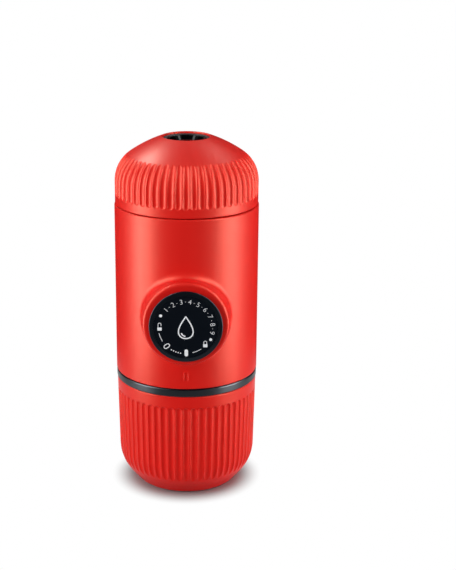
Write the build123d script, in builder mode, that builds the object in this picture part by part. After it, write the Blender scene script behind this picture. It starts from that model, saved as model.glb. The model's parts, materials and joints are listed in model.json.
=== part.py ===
from build123d import *
import os
from math import atan, cos, degrees, radians, sin, sqrt, tan

os.makedirs("parts", exist_ok=True)

# Hand-pumped espresso maker, upright on its drinking cup. Millimetres, +Z up. The origin is the
# middle of the cup's standing face. The pump lies across the body, with its knob towards -Y.

# ---- Outside form ----
cup_height = 49.0
band_height = 3.4  # bare ring of the tank between cup and body
body_height = 74.1
head_height = 28.6  # up to the mouth's edge before it is rounded
seam = 0.3  # shadow gap at each end of the body
body_radius = 31.0
cup_step = 0.3  # how far each part's edge is set in from the body
band_step = 0.1
head_step = 0.3
cup_taper = 0.7  # loss of radius from the cup's rim down to its base rounding
base_round = 17.0
base_round_height = 16.0
base_angle = 40.0  # degrees of the base cone, below the rounding
foot_edge = 4.0
rim_edge = 0.5
head_shoulder = 14.0
dome_radius = 60.0
dome_slope = 19.0  # degrees from level, at the mouth
mouth_radius = 10.0
mouth_edge = 0.5

# ---- Walls ----
shell_wall = 1.6
cup_wall = 1.8
cup_floor = 2.0
tank_wall = 2.0
tank_floor = 1.8
head_wall = 2.0

# ---- Fluted grip ----
flute_count = 60
flute_tool = 1.9  # radius of the round hollow
flute_depth = 0.6
cup_flute_drop = 5.25  # from the cup's rim down to the hollows' round ends
cup_flute_leave = 13.0  # degrees round the base at which the hollow runs out straight
cup_flute_runout = 8.0
cup_flute_deepen = 0.1  # how much deeper the hollow is at its upper end
head_flute_rise = 3.7  # from the head's lower edge to the hollows' round ends
head_flute_leave = 38.0
head_flute_runout = 6.0

# ---- Clearances ----
snug = 0.05  # between pieces of one assembly
running = 0.1  # round the sliding and turning knob
tank_gap = 0.5  # cup to tank
tank_floor_gap = 1.0

# ---- Screw threads of tank and head: four coarse right-hand ridges each ----
thread_lead = 24.0
thread_starts = 4
ridge_arc = 60.0
ridge_height = 1.3
ridge_root = 2.8
ridge_tip = 1.6
ridge_bite = 0.4
thread_gap = 0.35
flank_gap = 0.2
ridge_lift = 0.3  # how much higher the inner threads start than the outer ones
tank_collar_wall = 1.4  # round the tank's thread
head_collar_wall = 1.8  # round the head's thread

# ---- Tank neck ----
neck_height = 10.0
neck_wall = 1.7
tank_ridge_rise = 2.5  # neck's foot to the middle of a ridge's low end
seal_thickness = 1.5
seal_margin = 0.2
grip_ring_drop = 5.0
grip_ring_wire = 0.6
grip_ring_proud = 0.3
grip_groove_gap = 0.15  # above and below the ring

# ---- Chassis ----
lip_height = 0.6
lip_width = 1.2
bulkhead_thickness = 2.5
post_gap = 0.5  # between the knob's sleeve and the posts
post_y = 6.0
post_radius = 2.8
chassis_screw_radius = 1.25
chassis_head_radius = 2.6
chassis_head_height = 1.8
screw_depth = 4.5
cradle_width = 14.0
cradle_gap = 1.5  # to the pump's two flanges
cradle_grip = 1.5

# ---- Pump, placed by its reach in front of the body's middle ----
pump_rise = 31.1  # body's lower edge to the pump's axis
pump_stroke = 20.0
stroke_reserve = 3.5  # of the bore, in front of the piston at the end of its stroke
barrel_radius = 9.0
bore_radius = 6.05
front_flange_width = 3.0
front_flange_thickness = 2.5
back_flange_width = 2.2
back_flange_thickness = 3.0
rod_step = 0.2
piston_length = 8.0
end_gap = 0.5
cup_seal_width = 2.5
cup_seal_depth = 1.3
cup_seal_back = 2.0

# ---- Knob, its sleeve and the body's boss ----
knob_radius = 14.3  # where it slides in its sleeve
knob_stand = 3.4  # in front of the boss
knob_length = 28.4
knob_wall = 1.8
knob_web = 2.2
rim_overhang = 1.17  # knob's front rim, outside its sliding part
rim_bevel = 0.5
rim_gap = 0.6  # from the boss to the back of the rim
rim_round = 0.35
face_inset = 0.15  # from the bevel to the face
face_margin = 2.17
face_thickness = 0.8
hub_radius = 5.5
hub_length = 2.4
carrier_thickness = 2.5
rod_spigot_radius = 3.5
lug_count = 2
lug_height = 1.3
lug_length = 3.0
lug_angle = 16.0
turn_angle = 45.0
lug_gap = 1.0  # degrees beside each lug
sleeve_wall = 1.65
sleeve_floor = 2.0
skirt_gap = 2.0  # from the sleeve's floor to the locked knob
window_gap = 0.4
boss_stand = 6.0  # in front of the body's round side
boss_width = 3.65  # outside the knob
boss_draft = 4.0
boss_ring = 1.6
boss_hole_gap = 0.25
boss_lip_round = 1.3
boss_blend = 3.0
rib_width = 0.7
rib_height = 3.9
rib_stand = 0.35
rib_spacing = 1.65
rib_rise = 5.95  # body's lower edge to the middle of the two ribs
knob_screw_radius = 1.5
knob_screw_head = 3.0
knob_screw_head_height = 1.6
knob_screw_length = 14.0
spring_wire = 0.6
spring_gap = 1.4  # round the barrel
spring_turns = 8

# ---- Valve block and water ways ----
block_width = 22.0
block_height = 26.0
block_depth = 10.0
block_corner = 2.0
channel_inset = 4.3  # from the barrel's end back to the upright water way
channel_radius = 2.1
port_radius = 1.8
block_screws = 4
block_screw_gap = 0.1  # outside the barrel
block_screw_radius = 1.3
block_screw_head = 2.3
block_screw_head_height = 1.5
block_seal_margin = 1.35  # bore to the seal's middle
block_seal_wire = 0.6
plug_radius = 3.35
plug_length = 3.1
collar_radius = 4.4
collar_length = 1.4
spigot_radius = 1.6
spigot_length = 3.2
spigot_bore = 0.9
valve_flange = 1.25
bill_length = 3.4
bill_radius = 1.7
bill_tip = 0.8
hose_radius = 2.5
strainer_radius = 3.6
strainer_gap = 0.7  # to the tank's neck
strainer_height = 5.0
strainer_drop = 1.4  # bulkhead's underside to the strainer's top
strainer_wall = 0.8
strainer_slots = 6
grommet_wall = 0.7
grommet_flange = 0.75
air_angle = 127.0  # round from +X
air_gap = 0.8  # to the tank's neck
air_stem = 1.4
air_umbrella = 3.8
air_head = 2.4
air_drop = 1.2  # height of the umbrella below and of the head above

# ---- Group head and basket ----
group_drop = 0.4  # flange below the body's upper edge
group_neck_height = 10.2
group_neck_wall = 4.0
group_depth = 5.8  # body's upper edge down to the basket's seat
group_thickness = 6.5
disc_margin = 1.0  # outside the posts
flange_web = 2.5
flange_rim = 1.2
flange_skirt = 7.4
chamber_depth = 1.6
group_ridge_rise = 3.0
screen_gap = 0.45  # to the seal
screen_lap = 0.65  # on the chamber's edge
screen_thickness = 0.5
holes_per_ring = 6  # in the first ring of holes, and as many more in each next one
screen_hole = 0.5
screen_rings = 5
group_seal_width = 2.4
group_seal_height = 1.4
shower_screw_radius = 1.25
shower_head_radius = 3.0
shower_head_height = 1.3
feed_y = 12.0
feed_radius = 1.2  # cross channel from the delivery tube to the chamber
basket_gap = 0.7  # to the group head's bore
basket_wall = 0.5
basket_height = 16.0
basket_rim = 0.5
basket_hole = 0.6
basket_rings = 5
basket_ring_pitch = 3.6
basket_seal_width = 2.0
basket_seal_height = 1.2

# ---- Spout in the head ----
plate_thickness = 2.5
plate_gap = 0.5  # plate's upper edge to the head's inside
funnel_radius = 14.0
funnel_depth = 1.5
spout_bore = 1.6
tube_wall = 1.4
tube_drop = 1.0  # tube's top below the head's mouth
nozzle_drop = 1.4
nozzle_rim = 0.9
dish_depth = 4.0
dish_floor = 3.0
tip_radius = 3.2
tip_drop = 0.9
stem_radius = 4.4
spout_ring_wire = 0.42

# ---- Levels and sizes that follow ----
band_top = cup_height + band_height
body_bottom = band_top + seam
body_top = body_bottom + body_height
head_bottom = body_top + seam
mouth_height = head_bottom + head_height
pump_height = body_bottom + pump_rise

cup_radius = body_radius - cup_step
band_radius = body_radius - band_step
head_radius = body_radius - head_step
shell_bore = body_radius - shell_wall
chassis_radius = shell_bore - snug

tank_thread_radius = chassis_radius - tank_collar_wall
neck_radius = tank_thread_radius - thread_gap - ridge_height
neck_top = band_top + neck_height
neck_bore = neck_radius - neck_wall
bulkhead_under = neck_top + seal_thickness + 2 * snug
bulkhead_top = bulkhead_under + bulkhead_thickness
collar_bottom = body_bottom + lip_height

head_thread_radius = head_radius - head_wall - snug - head_collar_wall
group_neck_radius = head_thread_radius - thread_gap - ridge_height
group_bore = group_neck_radius - group_neck_wall
group_seal_inner = group_bore - seal_margin - group_seal_width
screen_radius = group_seal_inner - screen_gap
chamber_radius = screen_radius - screen_lap
basket_radius = group_bore - basket_gap
group_floor = body_top - group_depth
group_under = group_floor - group_thickness
group_neck_top = body_top + group_neck_height
flange_top = body_top - group_drop
basket_bottom = group_floor + group_seal_height + running
basket_top = basket_bottom + basket_height
plate_under = basket_top + basket_seal_height + running
plate_top = plate_under + plate_thickness

boss_reach = body_radius + boss_stand
boss_front_radius = knob_radius + boss_width
knob_reach = boss_reach + knob_stand
rim_radius = knob_radius + rim_overhang
rim_back = boss_reach + rim_gap
face_radius = rim_radius - face_margin
skirt_end = knob_reach - knob_length
web_back = knob_reach - face_thickness - knob_web
hub_end = web_back - hub_length
carrier_front = hub_end - running
carrier_back = carrier_front - carrier_thickness
sleeve_back = skirt_end - skirt_gap - sleeve_floor
sleeve_front = boss_reach - boss_ring - snug
sleeve_bore = knob_radius + running
sleeve_radius = sleeve_bore + sleeve_wall
post_x = sleeve_radius + post_gap + post_radius
group_disc = sqrt(post_x**2 + post_y**2) + post_radius + disc_margin

channel_back = neck_bore - strainer_gap - strainer_radius
air_circle = neck_bore - air_gap - air_umbrella
air_x = air_circle * cos(radians(air_angle))
air_y = air_circle * sin(radians(air_angle))

barrel_back = channel_back - channel_inset
rod_end = end_gap - barrel_back
barrel_reach = rod_end + piston_length + pump_stroke + stroke_reserve
piston_radius = bore_radius - snug
rod_radius = piston_radius - rod_step
spring_radius = barrel_radius + spring_gap + spring_wire
front_flange_radius = barrel_radius + front_flange_width
block_screw_circle = barrel_radius + block_screw_gap + block_screw_radius
block_screw_length = block_depth + back_flange_thickness - end_gap
back_flange_radius = block_screw_circle + back_flange_width
block_seal_radius = bore_radius + block_seal_margin
cradle_front = sleeve_back - front_flange_thickness - cradle_gap
cradle_back = barrel_back - back_flange_thickness - cradle_gap
block_bottom = pump_height - block_height / 2
block_top = pump_height + block_height / 2
cavity_depth = plug_length + valve_flange + 2 * snug

front = Plane(origin=(0, 0, pump_height), x_dir=(1, 0, 0), z_dir=(0, -1, 0))
channel = Plane.XY.move(Location((0, channel_back, 0)))

# ---- Outline of the bowl: tapered side, rounding and base cone, shared by cup and tank ----
taper = atan(cup_taper / (cup_height - base_round_height))
cone = radians(base_angle)
round_x = cup_radius - cup_taper - base_round * cos(taper)
round_z = base_round_height + base_round * sin(taper)


def bowl_points(inset, floor):
    """Foot, flare, shoulder and rim of the bowl's outline, moved inwards by inset."""
    radius = base_round - inset
    flare = (round_x + radius * cos(cone), round_z - radius * sin(cone))
    foot = (flare[0] - (flare[1] - floor) * tan(cone), floor)
    shoulder = (round_x + radius * cos(taper), round_z - radius * sin(taper))
    rim = (shoulder[0] + (cup_height - shoulder[1]) * tan(taper), cup_height)
    return foot, flare, shoulder, rim


# ---- Outline of the head: upright side, shoulder and shallow dome ----
dome_x = mouth_radius - dome_radius * sin(radians(dome_slope))
dome_z = mouth_height - dome_radius * cos(radians(dome_slope))
shoulder_x = head_radius - head_shoulder
shoulder_z = dome_z + sqrt((dome_radius - head_shoulder) ** 2 - (shoulder_x - dome_x) ** 2)
dome_cos = (shoulder_x - dome_x) / (dome_radius - head_shoulder)
dome_sin = (shoulder_z - dome_z) / (dome_radius - head_shoulder)


def head_points(inset):
    """Side's top, start of the dome and mouth of the head's outline, moved inwards by inset."""
    side = (head_radius - inset, shoulder_z)
    corner = head_shoulder - inset
    crown = (shoulder_x + corner * dome_cos, shoulder_z + corner * dome_sin)
    mouth_z = dome_z + sqrt((dome_radius - inset) ** 2 - (mouth_radius - dome_x) ** 2)
    return side, crown, (mouth_radius, mouth_z)


# ---- Shared cutters and repeated forms ----
tool_offset = flute_tool - flute_depth

with BuildPart() as cup_flute:
    tool_shoulder, tool_rim = bowl_points(-tool_offset, 0)[2:]
    tool_top = cup_height - cup_flute_drop - sqrt(flute_tool**2 - tool_offset**2)
    tool_line = tool_rim[0] - (cup_height - tool_top) * tan(taper)
    tool_start = (tool_line - cup_flute_deepen, tool_top)
    leave = radians(cup_flute_leave)
    tool_arc = base_round + tool_offset
    tool_leave = (round_x + tool_arc * cos(leave), round_z - tool_arc * sin(leave))
    with BuildLine(Plane.XZ) as cup_tool_path:
        Line(tool_start, tool_shoulder)
        RadiusArc(tool_shoulder, tool_leave, tool_arc)
        Line(
            tool_leave,
            (
                tool_leave[0] - cup_flute_runout * sin(leave),
                tool_leave[1] - cup_flute_runout * cos(leave),
            ),
        )
    with BuildSketch(Plane(origin=cup_tool_path.line @ 0, z_dir=cup_tool_path.line % 0)):
        Circle(flute_tool)
    sweep(path=cup_tool_path.line)
    with Locations(cup_tool_path.line @ 0):
        Sphere(flute_tool)

with BuildPart() as head_flute:
    leave = radians(head_flute_leave)
    tool_arc = head_shoulder + tool_offset
    tool_start = head_bottom + head_flute_rise + sqrt(flute_tool**2 - tool_offset**2)
    tool_leave = (shoulder_x + tool_arc * cos(leave), shoulder_z + tool_arc * sin(leave))
    with BuildLine(Plane.XZ) as head_tool_path:
        Line((head_radius + tool_offset, tool_start), (head_radius + tool_offset, shoulder_z))
        RadiusArc((head_radius + tool_offset, shoulder_z), tool_leave, -tool_arc)
        Line(
            tool_leave,
            (
                tool_leave[0] - head_flute_runout * sin(leave),
                tool_leave[1] + head_flute_runout * cos(leave),
            ),
        )
    with BuildSketch(Plane(origin=head_tool_path.line @ 0, z_dir=head_tool_path.line % 0)):
        Circle(flute_tool)
    sweep(path=head_tool_path.line)
    with Locations(head_tool_path.line @ 0):
        Sphere(flute_tool)


def thread_ridge(root_radius, side):
    """One ridge of the coarse thread, standing outwards for side 1 and inwards for side -1."""
    slope = (ridge_root - ridge_tip) / 2 / ridge_height
    foot = ridge_root / 2 + ridge_bite * slope
    with BuildPart() as ridge:
        with BuildLine() as rise:
            Helix(pitch=thread_lead, height=thread_lead * ridge_arc / 360, radius=root_radius)
        with BuildSketch(Plane(origin=rise.line @ 0, x_dir=(1, 0, 0), z_dir=rise.line % 0)):
            with BuildLine():
                Polyline(
                    (-side * ridge_bite, -foot),
                    (side * ridge_height, -ridge_tip / 2),
                    (side * ridge_height, ridge_tip / 2),
                    (-side * ridge_bite, foot),
                    close=True,
                )
            make_face()
        sweep(path=rise.line, is_frenet=True)
    return ridge.part


# In mesh, an inner ridge's upper flank lies one flank gap below an outer ridge's lower flank.
flank_pitch = ridge_tip + (ridge_root - ridge_tip) / 2 * (1 - thread_gap / ridge_height) + flank_gap
mesh_turn = 360 * (ridge_lift + flank_pitch) / thread_lead
tank_ridge_low = band_top + tank_ridge_rise
head_ridge_low = body_top + group_ridge_rise
tank_outer_ridge = thread_ridge(neck_radius, 1)
tank_inner_ridge = thread_ridge(tank_thread_radius, -1)
head_outer_ridge = thread_ridge(group_neck_radius, 1)
head_inner_ridge = thread_ridge(head_thread_radius, -1)


def ring_sector(inner, outer, start, size):
    """Flat sector of a ring, from the start angle over size degrees."""
    with BuildSketch() as sector:
        with BuildLine():
            near = CenterArc((0, 0), inner, start, size)
            far = CenterArc((0, 0), outer, start, size)
            Line(near @ 0, far @ 0)
            Line(near @ 1, far @ 1)
        make_face()
    return sector.sketch


lug_shape = ring_sector(
    knob_radius - knob_wall / 2, knob_radius + lug_height, -lug_angle / 2, lug_angle
)
window_shape = ring_sector(
    sleeve_bore - snug,
    sleeve_radius + snug,
    -lug_angle / 2 - lug_gap,
    lug_angle + turn_angle + 2 * lug_gap,
)

with BuildPart() as hose_fitting:
    # Plug upwards into the block, from its face at level 0, and hose spigot downwards
    with BuildSketch(Plane.XZ):
        with BuildLine():
            Polyline(
                (spigot_bore, -collar_length - spigot_length),
                (spigot_radius, -collar_length - spigot_length),
                (spigot_radius, -collar_length),
                (collar_radius, -collar_length),
                (collar_radius, 0),
                (plug_radius, 0),
                (plug_radius, plug_length),
                (bill_radius + running, plug_length),
                (bill_radius + running, plug_length - bill_length),
                (spigot_bore, plug_length - bill_length),
                close=True,
            )
        make_face()
    revolve(axis=Axis.Z)

with BuildPart() as duckbill:
    # Flange on level 0, with its bill upwards
    Cylinder(
        plug_radius - snug, valve_flange, align=(Align.CENTER, Align.CENTER, Align.MIN)
    )
    with Locations((0, 0, valve_flange)):
        Cone(
            bill_radius,
            bill_tip,
            bill_length - snug,
            align=(Align.CENTER, Align.CENTER, Align.MIN),
        )
    with BuildSketch(Plane.XY):
        Circle(bill_tip)
    extrude(amount=valve_flange + bill_length / 2, mode=Mode.SUBTRACT)

# ---- Cup ----
with BuildPart() as drinking_cup:
    foot, flare, shoulder, rim = bowl_points(0, 0)
    inner_foot, inner_flare, inner_shoulder, inner_rim = bowl_points(cup_wall, cup_floor)
    with BuildSketch(Plane.XZ) as cup_outline:
        with BuildLine():
            Polyline((0, 0), foot, flare)
            RadiusArc(flare, shoulder, -base_round)
            Polyline(shoulder, rim, inner_rim, inner_shoulder)
            RadiusArc(inner_shoulder, inner_flare, base_round - cup_wall)
            Polyline(inner_flare, inner_foot, (0, cup_floor), (0, 0))
        make_face()
        fillet(cup_outline.vertices().group_by(Axis.Y)[-1], radius=rim_edge)
        fillet(cup_outline.vertices().group_by(Axis.Y)[0].sort_by(Axis.X)[-1], radius=foot_edge)
    revolve(axis=Axis.Z)
    with PolarLocations(0, flute_count):
        add(cup_flute.part, mode=Mode.SUBTRACT)

# ---- Tank ----
with BuildPart() as water_tank:
    tank_inset = cup_wall + tank_gap
    tank_bottom = cup_floor + tank_floor_gap
    foot, flare, shoulder, rim = bowl_points(tank_inset, tank_bottom)
    inner_foot, inner_flare, inner_shoulder, inner_rim = bowl_points(
        tank_inset + tank_wall, tank_bottom + tank_floor
    )
    with BuildSketch(Plane.XZ) as tank_outline:
        with BuildLine():
            Polyline((0, tank_bottom), foot, flare)
            RadiusArc(flare, shoulder, -(base_round - tank_inset))
            Polyline(
                shoulder,
                rim,
                (band_radius, cup_height),
                (band_radius, band_top),
                (neck_radius, band_top),
                (neck_radius, neck_top),
                (neck_bore, neck_top),
                (neck_bore, cup_height + tank_wall / 2),
                (inner_rim[0] - snug, cup_height - tank_wall / 2),
                inner_shoulder,
            )
            RadiusArc(inner_shoulder, inner_flare, base_round - tank_inset - tank_wall)
            Polyline(inner_flare, inner_foot, (0, tank_bottom + tank_floor), (0, tank_bottom))
        make_face()
        fillet(tank_outline.vertices().sort_by(Axis.X)[-2:], radius=rim_edge)
    revolve(axis=Axis.Z)
    ring_level = cup_height - grip_ring_drop
    groove_outer = shoulder[0] + (ring_level - shoulder[1]) * tan(taper)
    ring_centre = groove_outer + grip_ring_proud - grip_ring_wire
    with BuildSketch(Plane.XZ):
        with Locations((ring_centre - grip_ring_wire - snug, ring_level)):
            Rectangle(
                2 * grip_ring_wire + snug,
                2 * (grip_ring_wire + grip_groove_gap),
                align=(Align.MIN, Align.CENTER),
            )
    revolve(axis=Axis.Z, mode=Mode.SUBTRACT)
    with Locations((0, 0, tank_ridge_low)):
        with PolarLocations(0, thread_starts):
            add(tank_outer_ridge)

with BuildPart() as cup_grip_ring:
    with Locations((0, 0, ring_level)):
        Torus(ring_centre, grip_ring_wire)

with BuildPart() as tank_seal:
    with BuildSketch(Plane.XY.offset(neck_top + snug)):
        Circle(neck_radius - seal_margin)
        Circle(neck_bore + seal_margin, mode=Mode.SUBTRACT)
    extrude(amount=seal_thickness)

# ---- Body shell ----
with BuildPart() as main_shell:
    with BuildSketch(Plane.XY.offset(body_bottom)):
        Circle(body_radius)
    extrude(amount=body_height)
    shell_ends = main_shell.edges().filter_by(GeomType.CIRCLE)
    fillet(shell_ends, radius=rim_edge)
    with BuildSketch(front.offset(boss_reach)):
        Circle(boss_front_radius)
    extrude(amount=-boss_reach, taper=-boss_draft)
    boss_root = main_shell.edges(Select.LAST).filter_by(
        lambda edge: edge.bounding_box().max.Y < 0 and edge.bounding_box().size.Y > boss_blend
    )
    fillet(boss_root, radius=boss_blend)
    fillet(main_shell.edges().sort_by(Axis.Y)[0], radius=boss_lip_round)
    with BuildSketch(Plane.XY.offset(body_bottom)):
        Circle(shell_bore - lip_width)
    extrude(amount=lip_height, mode=Mode.SUBTRACT)
    with BuildSketch(Plane.XY.offset(collar_bottom)):
        Circle(shell_bore)
    extrude(amount=body_height, mode=Mode.SUBTRACT)
    with BuildSketch(front):
        Circle(sleeve_radius + snug)
    extrude(amount=boss_reach - boss_ring, mode=Mode.SUBTRACT)
    with BuildSketch(front):
        Circle(knob_radius + boss_hole_gap)
    extrude(amount=knob_reach, mode=Mode.SUBTRACT)
    with BuildSketch(front.offset(body_radius - shell_wall / 2)):
        with Locations((0, body_bottom + rib_rise - pump_height)):
            with GridLocations(rib_spacing, 0, 2, 1):
                SlotOverall(rib_height, rib_width, rotation=90)
    extrude(amount=shell_wall / 2 + rib_stand)
    rib_tops = main_shell.faces(Select.LAST).filter_by(Axis.Y).sort_by(Axis.Y)[:2]
    fillet(rib_tops.edges(), radius=0.4 * rib_width)

# ---- Chassis: lower bulkhead with collar, posts and cradle ----
with BuildPart() as lower_bulkhead:
    with BuildSketch(Plane.XZ):
        with BuildLine():
            Polyline(
                (0, bulkhead_under),
                (tank_thread_radius, bulkhead_under),
                (tank_thread_radius, collar_bottom),
                (chassis_radius, collar_bottom),
                (chassis_radius, bulkhead_top),
                (0, bulkhead_top),
                close=True,
            )
        make_face()
    revolve(axis=Axis.Z)
    with BuildSketch(Plane.XY.offset(bulkhead_top)):
        with GridLocations(2 * post_x, 2 * post_y, 2, 2):
            Circle(post_radius)
    extrude(amount=group_under - bulkhead_top)
    with BuildSketch(Plane.XY.offset(bulkhead_top)):
        with Locations((0, (cradle_back - cradle_front) / 2)):
            Rectangle(cradle_width, cradle_back + cradle_front)
    extrude(amount=pump_height - barrel_radius + cradle_grip - bulkhead_top)
    with BuildSketch(front.offset(-barrel_back)):
        Circle(barrel_radius + snug)
    extrude(amount=barrel_back + barrel_reach, mode=Mode.SUBTRACT)
    with BuildSketch(Plane.XY.offset(bulkhead_under)):
        with GridLocations(2 * post_x, 2 * post_y, 2, 2):
            Circle(chassis_screw_radius + snug)
        with Locations((0, channel_back)):
            Circle(hose_radius + snug + grommet_wall + snug)
        with Locations((air_x, air_y)):
            Circle(air_stem + snug)
    extrude(amount=group_under - bulkhead_under, mode=Mode.SUBTRACT)
    with BuildSketch(Plane.XY.offset(bulkhead_under)):
        with GridLocations(2 * post_x, 2 * post_y, 2, 2):
            Circle(chassis_head_radius + snug)
    extrude(amount=chassis_head_height, mode=Mode.SUBTRACT)
    with Locations((0, 0, tank_ridge_low + ridge_lift)):
        with PolarLocations(0, thread_starts, start_angle=mesh_turn):
            add(tank_inner_ridge)

with BuildPart() as chassis_screws:
    with BuildSketch(Plane.XY.offset(bulkhead_under)):
        with GridLocations(2 * post_x, 2 * post_y, 2, 2):
            RegularPolygon(chassis_head_radius, 6)
    extrude(amount=chassis_head_height)
    with BuildSketch(Plane.XY.offset(bulkhead_under)):
        with GridLocations(2 * post_x, 2 * post_y, 2, 2):
            Circle(chassis_screw_radius)
    extrude(amount=group_under - bulkhead_under + screw_depth)

with BuildPart() as air_valve:
    with Locations((air_x, air_y, bulkhead_under - snug)):
        Cone(
            air_stem,
            air_umbrella,
            air_drop,
            align=(Align.CENTER, Align.CENTER, Align.MAX),
        )
    with Locations((air_x, air_y, bulkhead_under - air_drop)):
        Cylinder(
            air_stem,
            bulkhead_thickness + 2 * air_drop,
            align=(Align.CENTER, Align.CENTER, Align.MIN),
        )
    with Locations((air_x, air_y, bulkhead_top + snug)):
        Cylinder(air_head, air_drop, align=(Align.CENTER, Align.CENTER, Align.MIN))

# ---- Water way from the tank ----
strainer_top = bulkhead_under - strainer_drop
strainer_bottom = strainer_top - strainer_height
hose_end = strainer_top - strainer_height / 2

with BuildPart() as inlet_strainer:
    with BuildSketch(channel.offset(strainer_bottom)):
        Circle(strainer_radius)
    extrude(amount=strainer_height)
    with BuildSketch(channel.offset(strainer_bottom + strainer_wall)):
        Circle(strainer_radius - strainer_wall)
    extrude(amount=hose_end - strainer_bottom - strainer_wall, mode=Mode.SUBTRACT)
    with BuildSketch(channel.offset(hose_end)):
        Circle(hose_radius + snug)
    extrude(amount=strainer_height, mode=Mode.SUBTRACT)
    with BuildSketch(channel.offset(strainer_bottom + strainer_wall)):
        with PolarLocations(strainer_radius, strainer_slots):
            Rectangle(2 * strainer_wall + snug, strainer_wall)
    extrude(amount=hose_end - strainer_bottom - 2 * strainer_wall, mode=Mode.SUBTRACT)

with BuildPart() as tube_grommet:
    grommet_radius = hose_radius + snug + grommet_wall
    with BuildSketch(channel.offset(bulkhead_under - snug - grommet_flange)):
        Circle(grommet_radius + grommet_wall)
    extrude(amount=grommet_flange)
    with BuildSketch(channel.offset(bulkhead_top + snug)):
        Circle(grommet_radius + grommet_wall)
    extrude(amount=grommet_flange)
    with BuildSketch(channel.offset(bulkhead_under - snug)):
        Circle(grommet_radius)
    extrude(amount=bulkhead_thickness + 2 * snug)
    with BuildSketch(channel.offset(bulkhead_under - collar_radius)):
        Circle(hose_radius + snug)
    extrude(amount=bulkhead_thickness + 2 * collar_radius, mode=Mode.SUBTRACT)

with BuildPart() as suction_tube:
    with BuildSketch(channel.offset(hose_end + snug)):
        Circle(hose_radius)
        Circle(spigot_radius + snug, mode=Mode.SUBTRACT)
    extrude(amount=block_bottom - collar_length - hose_end - 2 * snug)

with BuildPart() as suction_fitting:
    with Locations((0, channel_back, block_bottom)):
        add(hose_fitting.part)

with BuildPart() as inlet_valve:
    with Locations((0, channel_back, block_bottom + plug_length + snug)):
        add(duckbill.part)

# ---- Pump ----
with BuildPart() as pump_barrel:
    with BuildSketch(front.offset(-barrel_back)):
        Circle(barrel_radius)
    extrude(amount=barrel_back + barrel_reach)
    with BuildSketch(front.offset(-barrel_back)):
        Circle(back_flange_radius)
    extrude(amount=back_flange_thickness)
    with BuildSketch(front.offset(sleeve_back - front_flange_thickness)):
        Circle(front_flange_radius)
    extrude(amount=front_flange_thickness)
    with BuildSketch(front.offset(-barrel_back)):
        Circle(bore_radius)
    extrude(amount=barrel_back + barrel_reach, mode=Mode.SUBTRACT)
    with BuildSketch(front.offset(-barrel_back)):
        with PolarLocations(block_screw_circle, block_screws, start_angle=180 / block_screws):
            Circle(block_screw_radius + snug)
    extrude(amount=back_flange_thickness, mode=Mode.SUBTRACT)

with BuildPart() as valve_block:
    with BuildSketch(front.offset(-barrel_back - block_depth)):
        RectangleRounded(block_width, block_height, block_corner)
    extrude(amount=block_depth)
    with BuildSketch(front.offset(-barrel_back)):
        Circle(block_seal_radius + block_seal_wire + snug)
        Circle(block_seal_radius - block_seal_wire - snug, mode=Mode.SUBTRACT)
    extrude(amount=-2 * (block_seal_wire + snug), mode=Mode.SUBTRACT)
    with BuildSketch(front.offset(-barrel_back)):
        Circle(port_radius)
    extrude(amount=barrel_back - channel_back, mode=Mode.SUBTRACT)
    with BuildSketch(channel.offset(block_bottom)):
        Circle(channel_radius)
    extrude(amount=block_height, mode=Mode.SUBTRACT)
    with BuildSketch(channel.offset(block_bottom)):
        Circle(plug_radius + snug)
    extrude(amount=cavity_depth, mode=Mode.SUBTRACT)
    with BuildSketch(channel.offset(block_top)):
        Circle(plug_radius + snug)
    extrude(amount=-cavity_depth, mode=Mode.SUBTRACT)
    with BuildSketch(front.offset(-barrel_back)):
        with PolarLocations(block_screw_circle, block_screws, start_angle=180 / block_screws):
            Circle(block_screw_radius + snug)
    extrude(amount=-block_depth, mode=Mode.SUBTRACT)
    with BuildSketch(front.offset(-barrel_back - block_depth)):
        with PolarLocations(block_screw_circle, block_screws, start_angle=180 / block_screws):
            Circle(block_screw_head + snug)
    extrude(amount=block_screw_head_height, mode=Mode.SUBTRACT)

with BuildPart() as valve_block_seal:
    with Locations(front.offset(-barrel_back - block_seal_wire - snug).location):
        Torus(block_seal_radius, block_seal_wire)

with BuildPart() as valve_block_screws:
    with BuildSketch(front.offset(-barrel_back - block_depth)):
        with PolarLocations(block_screw_circle, block_screws, start_angle=180 / block_screws):
            Circle(block_screw_head)
    extrude(amount=block_screw_head_height - snug)
    with BuildSketch(front.offset(-barrel_back - block_depth)):
        with PolarLocations(block_screw_circle, block_screws, start_angle=180 / block_screws):
            Circle(block_screw_radius)
    extrude(amount=block_screw_length)
    with BuildSketch(front.offset(-barrel_back - block_depth)):
        with PolarLocations(block_screw_circle, block_screws, start_angle=180 / block_screws):
            RegularPolygon(block_screw_radius, 6)
    extrude(amount=block_screw_head_height / 2, mode=Mode.SUBTRACT)

with BuildPart() as outlet_valve:
    with Locations((0, channel_back, block_top - cavity_depth + snug)):
        add(duckbill.part)

with BuildPart() as delivery_fitting:
    with Locations((0, channel_back, block_top)):
        add(hose_fitting.part, rotation=(180, 0, 0))

with BuildPart() as delivery_tube:
    with BuildSketch(channel.offset(block_top + collar_length + snug)):
        Circle(hose_radius)
        Circle(spigot_radius + snug, mode=Mode.SUBTRACT)
    extrude(amount=group_under - block_top - collar_length - 2 * snug)

with BuildPart() as guide_sleeve:
    with BuildSketch(front.offset(sleeve_back)):
        Circle(sleeve_radius)
    extrude(amount=sleeve_front - sleeve_back)
    with BuildSketch(front.offset(sleeve_back + sleeve_floor)):
        Circle(sleeve_bore)
    extrude(amount=sleeve_front - sleeve_back, mode=Mode.SUBTRACT)
    with BuildSketch(front):
        Circle(barrel_radius + snug)
    extrude(amount=sleeve_front, mode=Mode.SUBTRACT)
    with BuildSketch(front.offset(skirt_end - window_gap)):
        with PolarLocations(0, lug_count):
            add(window_shape)
    extrude(amount=sleeve_front, mode=Mode.SUBTRACT)

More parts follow.
